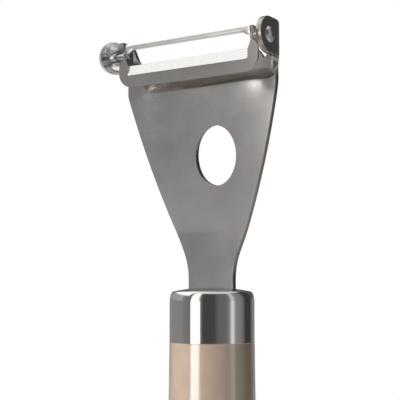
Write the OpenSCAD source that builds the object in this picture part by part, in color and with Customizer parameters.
// Vegetable peeler with a swivelling cross blade, an eye scoop and a round lacquered handle.
// The handle stands along +Z on its end cap, the blade faces -Y and its pivots run along X.
// All sizes are in millimetres.

/* [Handle] */
// Outside diameter of the grip where it meets the steel
grip_d = 22.9; // [20:0.1:28]
// Extra diameter at the middle of the grip
grip_swell = 1.4; // [0:0.1:4]
// Length of the grip that shows between the two steel caps
grip_len = 99.4; // [80:0.2:140]
// Wall of the steel caps
cap_wall = 1.1; // [0.9:0.05:1.2]
// Height of the end cap
cap_h = 7; // [6:0.5:12]
// Rounding of the end cap's lower edge
cap_r = 2.6; // [1:0.1:3.5]

/* [Ferrule] */
// Outside diameter of the steel ferrule
ferrule_d = 22.8; // [20:0.1:28]
// Height of the ferrule's side, from the seam to the crown
ferrule_h = 13.6; // [11:0.1:20]
// Sideways size of the ferrule's shoulder
shoulder_w = 1.1; // [0.6:0.1:2]
// Height of the ferrule's shoulder
shoulder_h = 2.9; // [1.5:0.1:4]
// Rise of the crown above the shoulder
crown_h = 1.1; // [0.5:0.1:2]

/* [Head plate] */
// Thickness of the head plate's sheet
sheet = 1.5; // [1.2:0.1:2]
// Half width of the neck
neck_hw = 7.1; // [6:0.1:8]
// Radius of the hollow curve from the neck into the flare
flare_r = 20; // [12:1:30]
// Angle of the flare away from the axis, in degrees
flare_a = 23.3; // [18:0.1:26]
// Radius of the long outward curve of the sides
side_r = 230; // [200:5:300]
// Height where the neck leans forward
crank_z = 15.4; // [12:0.1:20]
// Forward lean of the plate, in degrees
lean = 8.4; // [4:0.1:12]
// Half width of the plate below the ears
head_hw = 23.7; // [23.2:0.1:24]
// Height of the fold, above which the plate stands upright
fold_z = 54.5; // [53.5:0.1:56]
// Height of the throat's bottom between the ears
throat_z = 62.6; // [61.8:0.1:63]
// Length of the tang inside the handle
tang_len = 34; // [25:1:45]
// Half width of the tang
tang_hw = 5.6; // [4.5:0.1:6]

/* [Window] */
// Width of the oval window
window_w = 12.5; // [6:0.1:16]
// Height of the oval window
window_h = 15.9; // [8:0.1:20]
// Sideways place of the window's centre
window_x = 3.6; // [-4:0.1:5]
// Height of the window's centre above the ferrule
window_z = 36.2; // [32:0.1:42]
// Lean of the window's long axis, in degrees
window_a = 8; // [-15:1:15]

/* [Ears and pivots] */
// Distance from the centre plane to the outside of an ear
ear_x = 24.6; // [24:0.1:26]
// Radius of the round end of an ear
ear_r = 4.7; // [4:0.1:5]
// Distance of the pivot axis in front of the plate's face
pivot_out = 5; // [4.6:0.1:5.4]
// Height of the pivot axis above the throat's bottom
pivot_rise = 1.9; // [1.7:0.1:2.4]
// Inner radius of the right bend
bend_right = 0.6; // [0.4:0.1:1.5]
// Inner radius of the left bend
bend_left = 1; // [0.8:0.1:1.5]
// Height of the bottom of the relief notch beside the right bend
notch_z = 57.7; // [57:0.1:58.5]
// Width of the relief notch at its bottom
notch_w = 0.35; // [0.3:0.05:0.6]
// Diameter of the pivot journals in the blade
journal_d = 1.8; // [1.4:0.1:2]
// Diameter of the pivot shanks in the ears
shank_d = 2.6; // [2.4:0.1:3]
// Diameter of the domed rivet head
rivet_d = 4.4; // [4:0.1:5]
// Height of the domed rivet head
rivet_h = 1.1; // [0.6:0.1:1.4]
// Radial clearance of the journals in the blade
journal_gap = 0.06; // [0.04:0.01:0.1]

/* [Eye scoop] */
// Radius of the scoop's mouth
scoop_r = 4.6; // [4:0.1:5]
// Outside depth of the scoop
scoop_depth = 4; // [3.5:0.1:4.4]
// Thickness of the scoop's bottom
scoop_wall = 1.1; // [0.8:0.1:1.4]
// Thickness of the scoop's ground rim
rim_w = 0.3; // [0.2:0.1:0.6]
// Turn of the scoop's mouth towards the front, in degrees
scoop_turn = 22; // [10:1:30]

/* [Blade] */
// Thickness of the blade's strip
blade_t = 0.6; // [0.5:0.05:0.7]
// Gap between a blade tab and the inside of its ear
tab_gap = 2.9; // [2.6:0.1:3.2]
// Gap between the blade's lower bar and the inside of an ear
bar_gap = 1.1; // [0.9:0.1:1.4]
// Distance of the blade's front face before the pivot axis
blade_front = 1.45; // [1.4:0.05:1.7]
// Height of the guide bar's top above the pivot axis
guide_top = 2.95; // [2.6:0.05:3.2]
// Height of the guide bar
guide_h = 1.75; // [1.4:0.05:1.9]
// Depth of the cutting edge below the pivot axis
edge_z = 3.05; // [2.6:0.05:3.4]
// Height of the ground bevel
bevel_h = 2.7; // [2:0.1:3]
// Depth of the blade's lower edge below the pivot axis
blade_drop = 9.15; // [8.5:0.05:9.4]
// Radius of the blade's lower corners
corner_r = 3.2; // [2.4:0.1:3.4]
// Radius of the shoulders at the ends of the lower bar
shoulder_r = 2.2; // [1.8:0.1:2.4]
// Depth of the shoulders' tops below the pivot axis
shoulder_z = 1.5; // [1.4:0.1:1.8]
// Distance from a tab's inner face to the end of the bevel
bevel_in = 0.65; // [0.5:0.05:0.9]
// Depth of a tab behind the pivot axis
tab_back = 2; // [1.8:0.1:2.4]

/* [Hidden] */
$fn = 96;
// Overlap of shapes that join into one sheet
lap = 0.01;

// Heights along the handle, from the end cap's flat bottom
seam_z = cap_h + grip_len;
top_z = seam_z + ferrule_h;
spigot_d = ferrule_d - 2 * cap_wall;
spigot_gap = 0.05;
slot_gap = 0.1;
pin_gap = 0.02;

// The tang's cross pin runs through the grip inside the ferrule, short of the ferrule's wall
tang_pin_d = 3;
tang_pin_z = seam_z + ferrule_h * 0.4;
tang_pin_len = spigot_d - 1;

// Side profile of the plate: upright to the crank, leaning forward to the fold, upright above it
front_y = -sheet / 2;
function plate_front(z) = front_y - max(0, min(z, fold_z) - crank_z) * tan(lean);

// Pivot axis, and the ears that carry it: heights above the ferrule's shoulder
pivot_z = throat_z + pivot_rise;
pivot_y = pivot_out - plate_front(pivot_z);
ear_inner = ear_x - sheet;
right_flat = ear_inner - bend_right;
left_flat = ear_inner - bend_left;
ear_low = pivot_z - ear_r;
ear_high = pivot_z + ear_r;
ear_corner = 1.5;
wing_h = 0.6;
ear_back = -plate_front(pivot_z) - sheet + lap;

// Throat between the ears: fillet of its corners, and how far its left side slants
throat_fillet = 1.2;
left_rise = [2, 4];
left_ramp = [2.6, 0.9];

// Relief notch: its right wall and the slope above it, and the slope of its left wall
notch_x = 20.1;
notch_right = [[0, 2.3], [0.9, 3.4], [1.6, 3.7]];
notch_left = [[-0.25, 2.5], [-0.9, 3.9], [-1.6, 5.3]];

// The blade between the ears
tab_hw = ear_inner - tab_gap;
bar_hw = ear_inner - bar_gap;
bevel_hw = tab_hw - blade_t - bevel_in;
tab_corner = 1.4;
tab_low = 3;
tab_top = 2.8;
tab_bend = 0.9;
arm_in = 0.15;
bevel_corner = 0.8;
edge_t = 0.07;

// The pivots: how far a journal stands inside its tab, gap and thickness of the flange beside the
// tab, start of the left shank inside the ear, and the shank's end in the scoop's bottom
journal_in = 0.3;
flange_gap = 0.2;
flange_t = 0.4;
shank_in = 1;
stud_short = 0.2;
stud_dome = 0.4;

// Outline of the plate: neck, hollow flare, straight tangent and long outward curve
flare_z0 = 3;
flare_z1 = flare_z0 + flare_r * sin(flare_a);
flare_x1 = neck_hw + flare_r * (1 - cos(flare_a));
side_z0 = 16.5;
side_x0 = flare_x1 + (side_z0 - flare_z1) * tan(flare_a);
side_a1 = acos(cos(flare_a) + (head_hw - side_x0) / side_r);
function flare_pt(a) = [neck_hw + flare_r * (1 - cos(a)), flare_z0 + flare_r * sin(a)];
function side_pt(a) = [side_x0 + side_r * (cos(a) - cos(flare_a)),
                       side_z0 + side_r * (sin(flare_a) - sin(a))];
function steps(a, b, n) = [for (i = [0 : n]) a + (b - a) * i / n];

// A flat shape drawn in X and Z, made solid from y0 to y1
module across_y(y0, y1) {
    translate([0, y1, 0]) rotate([90, 0, 0]) linear_extrude(y1 - y0) children();
}

// A flat shape drawn in Y and Z, made solid from x0 to x1
module across_x(x0, x1) {
    translate([x0, 0, 0]) rotate([90, 0, 90]) linear_extrude(x1 - x0) children();
}

// A round bar along X
module bar_x(x0, x1, d) {
    translate([x0, 0, 0]) rotate([0, 90, 0]) cylinder(d = d, h = x1 - x0);
}

// Radius of the grip at a share of its length, swelling as a parabola
function grip_r(share) = grip_d / 2 + grip_swell / 2 * (1 - pow(2 * share - 1, 2));

// Turned grip with a spigot at each end, slot for the tang and hole for its pin
module handle_grip() {
    spigot_r = spigot_d / 2 - spigot_gap;
    spigot_up = seam_z + ferrule_h - cap_wall - spigot_gap;
    spigot_low = cap_wall + spigot_gap;
    color([0.74, 0.66, 0.57]) difference() {
        rotate_extrude() polygon(concat([[0, spigot_low], [spigot_r, spigot_low], [spigot_r, cap_h]],
            [for (share = steps(0, 1, 24)) [grip_r(share), cap_h + grip_len * share]],
            [[spigot_r, seam_z], [spigot_r, spigot_up], [0, spigot_up]]));
        translate([-tang_hw - slot_gap, -sheet / 2 - slot_gap, top_z - tang_len - slot_gap])
            cube([2 * (tang_hw + slot_gap), sheet + 2 * slot_gap, tang_len + 1]);
        translate([0, 0, tang_pin_z]) rotate([90, 0, 0])
            cylinder(d = tang_pin_d + 2 * pin_gap, h = ferrule_d, center = true);
    }
}

// Drawn steel cap that closes the foot of the handle, with a rounded edge and a flat bottom
module end_cap() {
    color([0.62, 0.61, 0.6]) rotate_extrude() difference() {
        union() {
            translate([0, cap_r]) square([ferrule_d / 2, cap_h - cap_r]);
            square([ferrule_d / 2 - cap_r, cap_h]);
            intersection() {
                translate([ferrule_d / 2 - cap_r, cap_r]) circle(r = cap_r);
                square(ferrule_d);
            }
        }
        translate([0, cap_wall]) square([spigot_d / 2, cap_h]);
    }
}

// Drawn steel ferrule: straight side, elliptic shoulder, low crown with a slot for the neck
module ferrule() {
    crown_r = ferrule_d / 2 - shoulder_w;
    dome_r = (crown_r * crown_r + crown_h * crown_h) / (2 * crown_h);
    roof = top_z - cap_wall;
    shoulder_n = 16;
    color([0.62, 0.61, 0.6]) difference() {
        rotate_extrude() difference() {
            union() {
                polygon(concat([[0, seam_z], [ferrule_d / 2, seam_z]],
                    [for (a = steps(0, 90, shoulder_n))
                        [crown_r + shoulder_w * cos(a), top_z - shoulder_h * (1 - sin(a))]],
                    [[0, top_z]]));
                intersection() {
                    translate([0, top_z + crown_h - dome_r]) circle(r = dome_r, $fn = 360);
                    translate([0, top_z - 0.2]) square([crown_r, crown_h + 1]);
                }
            }
            translate([0, seam_z - 1]) square([spigot_d / 2, roof - seam_z + 1]);
        }
        translate([-neck_hw - slot_gap, -sheet / 2 - slot_gap, roof - 1])
            cube([2 * (neck_hw + slot_gap), sheet + 2 * slot_gap, cap_wall + crown_h + 2]);
    }
}

// Cross pin that holds the tang in the grip, hidden under the ferrule
module tang_pin() {
    color([0.55, 0.55, 0.56]) translate([0, 0, tang_pin_z]) rotate([90, 0, 0])
        cylinder(d = tang_pin_d, h = tang_pin_len, center = true);
}

// Right half of the plate's front outline: neck, flare, side, wing under the ear, top of the ear.
// The bend starts at flat_x, so the flat sheet ends there above the wing.
function half_outline(flat_x) = concat([[neck_hw, -cap_wall]],
    [for (a = steps(0, flare_a, 8)) flare_pt(a)],
    [for (a = steps(flare_a, side_a1, 16)) side_pt(a)],
    [[head_hw, ear_low + wing_h], [flat_x, ear_low + wing_h], [flat_x, ear_high]]);

// Front outline of the flat sheet above the ferrule, before the throat is cut
module plate_outline() {
    right = half_outline(right_flat);
    left = half_outline(left_flat);
    polygon(concat(right, [for (i = [len(left) - 1 : -1 : 0]) [-left[i][0], left[i][1]]]));
}

// Throat between the ears: a slanted left side, and a relief notch beside the right bend
module throat_outline() {
    high = ear_high + 1;
    ramp_x = left_rise[0] - left_flat;
    ramp_z = throat_z + left_ramp[1];
    at_notch = [notch_x, notch_z];
    offset(r = throat_fillet) offset(r = -throat_fillet)
        polygon([[-left_flat, high], [-left_flat, ramp_z + left_rise[1]], [ramp_x, ramp_z],
                 [ramp_x + left_ramp[0], throat_z], [notch_x, throat_z], [right_flat, throat_z],
                 [right_flat, high]]);
    polygon(concat([[right_flat, high], [right_flat, notch_z + notch_left[2][1]]],
        [for (i = [2 : -1 : 0]) at_notch + notch_right[i]], [at_notch, at_notch - [notch_w, 0]],
        [for (p = notch_left) at_notch - [notch_w, 0] + p], [[0, high]]));
}

// Side outline of an ear from y0 back to the plate: straight top with a rounded back corner
module ear_outline(y0) {
    translate([y0, ear_low]) square([-ear_back - y0, 2 * ear_r - ear_corner]);
    translate([y0, ear_low]) square([-ear_back - ear_corner - y0, 2 * ear_r]);
    translate([-ear_back - ear_corner, ear_high - ear_corner]) circle(r = ear_corner);
}

// Plan of a bent ear on the +X side: bend of the given inner radius and flat side
module ear_plan(inner) {
    outer = inner + sheet;
    front = pivot_y + 1.2 * ear_r;
    translate([ear_inner, -front]) square([sheet, front - ear_back - outer + lap]);
    translate([ear_x - outer, -ear_back - outer]) difference() {
        intersection() {
            circle(r = outer);
            square(outer);
        }
        circle(r = inner);
    }
}

// One ear, bent forward from the plate: round at its front end, or cut short for the scoop
module ear(inner, round_end) {
    intersection() {
        translate([0, 0, ear_low]) linear_extrude(2 * ear_r) ear_plan(inner);
        across_x(0, ear_x + 1) {
            ear_outline(round_end ? -pivot_y : 0.4 * scoop_r - pivot_y);
            if (round_end) translate([-pivot_y, pivot_z]) circle(r = ear_r);
        }
    }
}

// Places its children in the scoop's frame: mouth centre at the origin, mouth towards +Z
module at_scoop() {
    translate([-ear_x, -pivot_y, pivot_z]) rotate([0, 0, -scoop_turn]) rotate([0, 90, 0]) children();
}

// A ball that meets the mouth's plane in a circle of radius r and reaches the given depth
module mouth_ball(r, depth) {
    ball = (r * r + depth * depth) / (2 * depth);
    translate([0, 0, ball - depth]) sphere(r = ball, $fn = 120);
}

// The bent sheet, from the ferrule's roof to the top of the ears, as wide as they are
module bent_sheet() {
    fold_y = plate_front(fold_z);
    across_x(-ear_x - 1, ear_x + 1)
        polygon([[front_y, -cap_wall], [front_y, crank_z], [fold_y, fold_z], [fold_y, ear_high],
                 [fold_y + sheet, ear_high], [fold_y + sheet, fold_z], [front_y + sheet, crank_z],
                 [front_y + sheet, -cap_wall]]);
}

// Stamped head plate: tang, neck, flared plate with its window, two ears and the eye scoop
module head_plate() {
    reach = 2 * pivot_y;
    color([0.58, 0.56, 0.55]) translate([0, 0, top_z]) difference() {
        union() {
            difference() {
                intersection() {
                    bent_sheet();
                    across_y(-reach, reach) plate_outline();
                }
                across_y(-reach, reach) throat_outline();
                translate([window_x, 0, window_z]) rotate([0, window_a, 0])
                    across_y(-reach, reach) resize([window_w, window_h]) circle(d = window_w);
            }
            translate([-tang_hw, front_y, -tang_len]) cube([2 * tang_hw, sheet, tang_len]);
            ear(bend_right, true);
            mirror([1, 0, 0]) ear(bend_left, false);
            at_scoop() intersection() {
                mouth_ball(scoop_r, scoop_depth);
                translate([0, 0, -2 * scoop_depth]) cylinder(r = 2 * scoop_r, h = 2 * scoop_depth);
            }
        }
        at_scoop() mouth_ball(scoop_r - rim_w, scoop_depth - scoop_wall);
        translate([0, -pivot_y, pivot_z])
            bar_x(-ear_x - 2 * scoop_depth, -ear_x, shank_d + 2 * pin_gap);
        translate([0, -pivot_y, pivot_z]) bar_x(ear_inner - 1, ear_x + 1, shank_d + 2 * pin_gap);
        translate([0, 0, tang_pin_z - top_z]) rotate([90, 0, 0])
            cylinder(d = tang_pin_d + 2 * pin_gap, h = 4 * sheet, center = true);
    }
}

// A turned pivot along +X from the blade: journal with a flange beside the tab, shank in the ear
// and a domed outer end. The shank starts at x1 and ends at x2 under the dome.
module turned_pivot(x1, x2, dome_d, dome_h) {
    ball = (dome_d * dome_d / 4 + dome_h * dome_h) / (2 * dome_h);
    journal_x = tab_hw - blade_t - journal_in;
    color([0.66, 0.65, 0.64]) translate([0, -pivot_y, top_z + pivot_z]) rotate([0, 90, 0])
        rotate_extrude() {
            translate([0, journal_x]) square([journal_d / 2, x1 - journal_x]);
            translate([0, tab_hw + flange_gap]) square([shank_d / 2, flange_t]);
            translate([0, x1]) square([shank_d / 2, x2 - x1]);
            intersection() {
                translate([0, x2 + dome_h - ball]) circle(r = ball, $fn = 120);
                translate([0, x2]) square([dome_d / 2, dome_h]);
            }
        }
}

// Pivot rivet of the right ear: a shoulder beside the blade and a domed head outside the ear
module right_pivot_pin()
    turned_pivot(tab_hw + flange_gap, ear_x, rivet_d, rivet_h);

// Pivot stud of the left ear, riveted in the bottom of the scoop
module left_pivot_pin()
    mirror([1, 0, 0])
        turned_pivot(ear_x - shank_in, ear_x + scoop_depth - stud_short, shank_d, stud_dome);

// A square of the given half width from z0 to z1, centred on X = 0
module band(hw, z0, z1) {
    translate([-hw, z0]) square([2 * hw, z1 - z0]);
}

// Front outline of the lower bar: rounded lower corners, shoulders, and the inner side of its
// two arms, which ends at the cutting edge
module bar_outline() {
    corner_z = corner_r - blade_drop;
    arm_z = -shoulder_z - shoulder_r;
    difference() {
        union() {
            band(bar_hw, corner_z, arm_z);
            band(bar_hw - corner_r, -blade_drop, arm_z);
            band(bar_hw - shoulder_r, corner_z, -shoulder_z);
            for (side = [-1, 1]) {
                translate([side * (bar_hw - corner_r), corner_z]) circle(r = corner_r);
                translate([side * (bar_hw - shoulder_r), arm_z]) circle(r = shoulder_r);
            }
        }
        polygon([[-bevel_hw, -edge_z], [bevel_hw, -edge_z], [tab_hw - blade_t, -shoulder_z],
                 [tab_hw - blade_t, 0], [blade_t - tab_hw, 0], [blade_t - tab_hw, -shoulder_z]]);
    }
}

// Side outline of a blade tab around the pivot axis, with an arm into each bar
module tab_outline() {
    flat_y = tab_bend - blade_front;
    back_y = tab_back - tab_corner;
    mid_y = blade_t / 2 - blade_front;
    translate([flat_y, -tab_low]) square([back_y - flat_y, tab_low + tab_top]);
    translate([flat_y, tab_corner - tab_low])
        square([tab_back - flat_y, tab_low + tab_top - 2 * tab_corner]);
    for (z = [tab_corner - tab_low, tab_top - tab_corner])
        translate([back_y, z]) circle(r = tab_corner);
    for (z = [[-tab_low, -shoulder_z - arm_in], [guide_top - guide_h + arm_in, tab_top]])
        translate([mid_y, z[0]]) square([flat_y + lap - mid_y, z[1] - z[0]]);
}

// Tab on the +X side, with the hole that runs on the journal
module tab() {
    difference() {
        across_x(tab_hw - blade_t, tab_hw) tab_outline();
        bar_x(tab_hw - 2 * blade_t, tab_hw + blade_t, journal_d + 2 * journal_gap);
    }
}

// Guide bar with rounded upper and lower edges
module guide_bar() {
    r = blade_t / 2;
    across_x(-tab_hw, tab_hw) translate([r - blade_front, 0]) {
        band(r, guide_top - guide_h + r, guide_top - r);
        for (z = [guide_top - guide_h + r, guide_top - r])
            translate([0, z]) circle(r = r);
    }
}

// Plan of the guide bar and the tabs, with the rounded bend between them
module bend_plan() {
    bend_x = tab_hw - tab_bend;
    bend_y = tab_bend - blade_front;
    band(tab_hw, bend_y, tab_back + 1);
    band(bend_x, -blade_front, tab_back + 1);
    for (x = [-bend_x, bend_x])
        translate([x, bend_y]) circle(r = tab_bend);
}

// Ground bevel: the wedge that is taken off the lower bar in front of the cutting edge
module bevel() {
    low = -edge_z - bevel_h;
    intersection() {
        across_x(-bevel_hw, bevel_hw)
            polygon([[-2 * blade_front, low], [-blade_front, low],
                     [blade_t - edge_t - blade_front, -edge_z], [blade_t - blade_front, 0],
                     [-2 * blade_front, 0]]);
        across_y(-2 * blade_front, 0) {
            band(bevel_hw - bevel_corner, low, 0);
            band(bevel_hw + 1, low + bevel_corner, 0);
            for (x = [bevel_corner - bevel_hw, bevel_hw - bevel_corner])
                translate([x, low + bevel_corner]) circle(r = bevel_corner);
        }
    }
}

// Swivelling blade: guide bar, slot, ground cutting edge, lower bar and two pierced tabs
module blade() {
    color([0.72, 0.7, 0.69]) translate([0, -pivot_y, top_z + pivot_z]) {
        difference() {
            across_y(-blade_front, blade_t - blade_front) bar_outline();
            bevel();
        }
        intersection() {
            translate([0, 0, -2 * tab_low]) linear_extrude(4 * tab_low) bend_plan();
            union() {
                guide_bar();
                tab();
                mirror([1, 0, 0]) tab();
            }
        }
    }
}

handle_grip();
end_cap();
ferrule();
tang_pin();
head_plate();
right_pivot_pin();
left_pivot_pin();
blade();
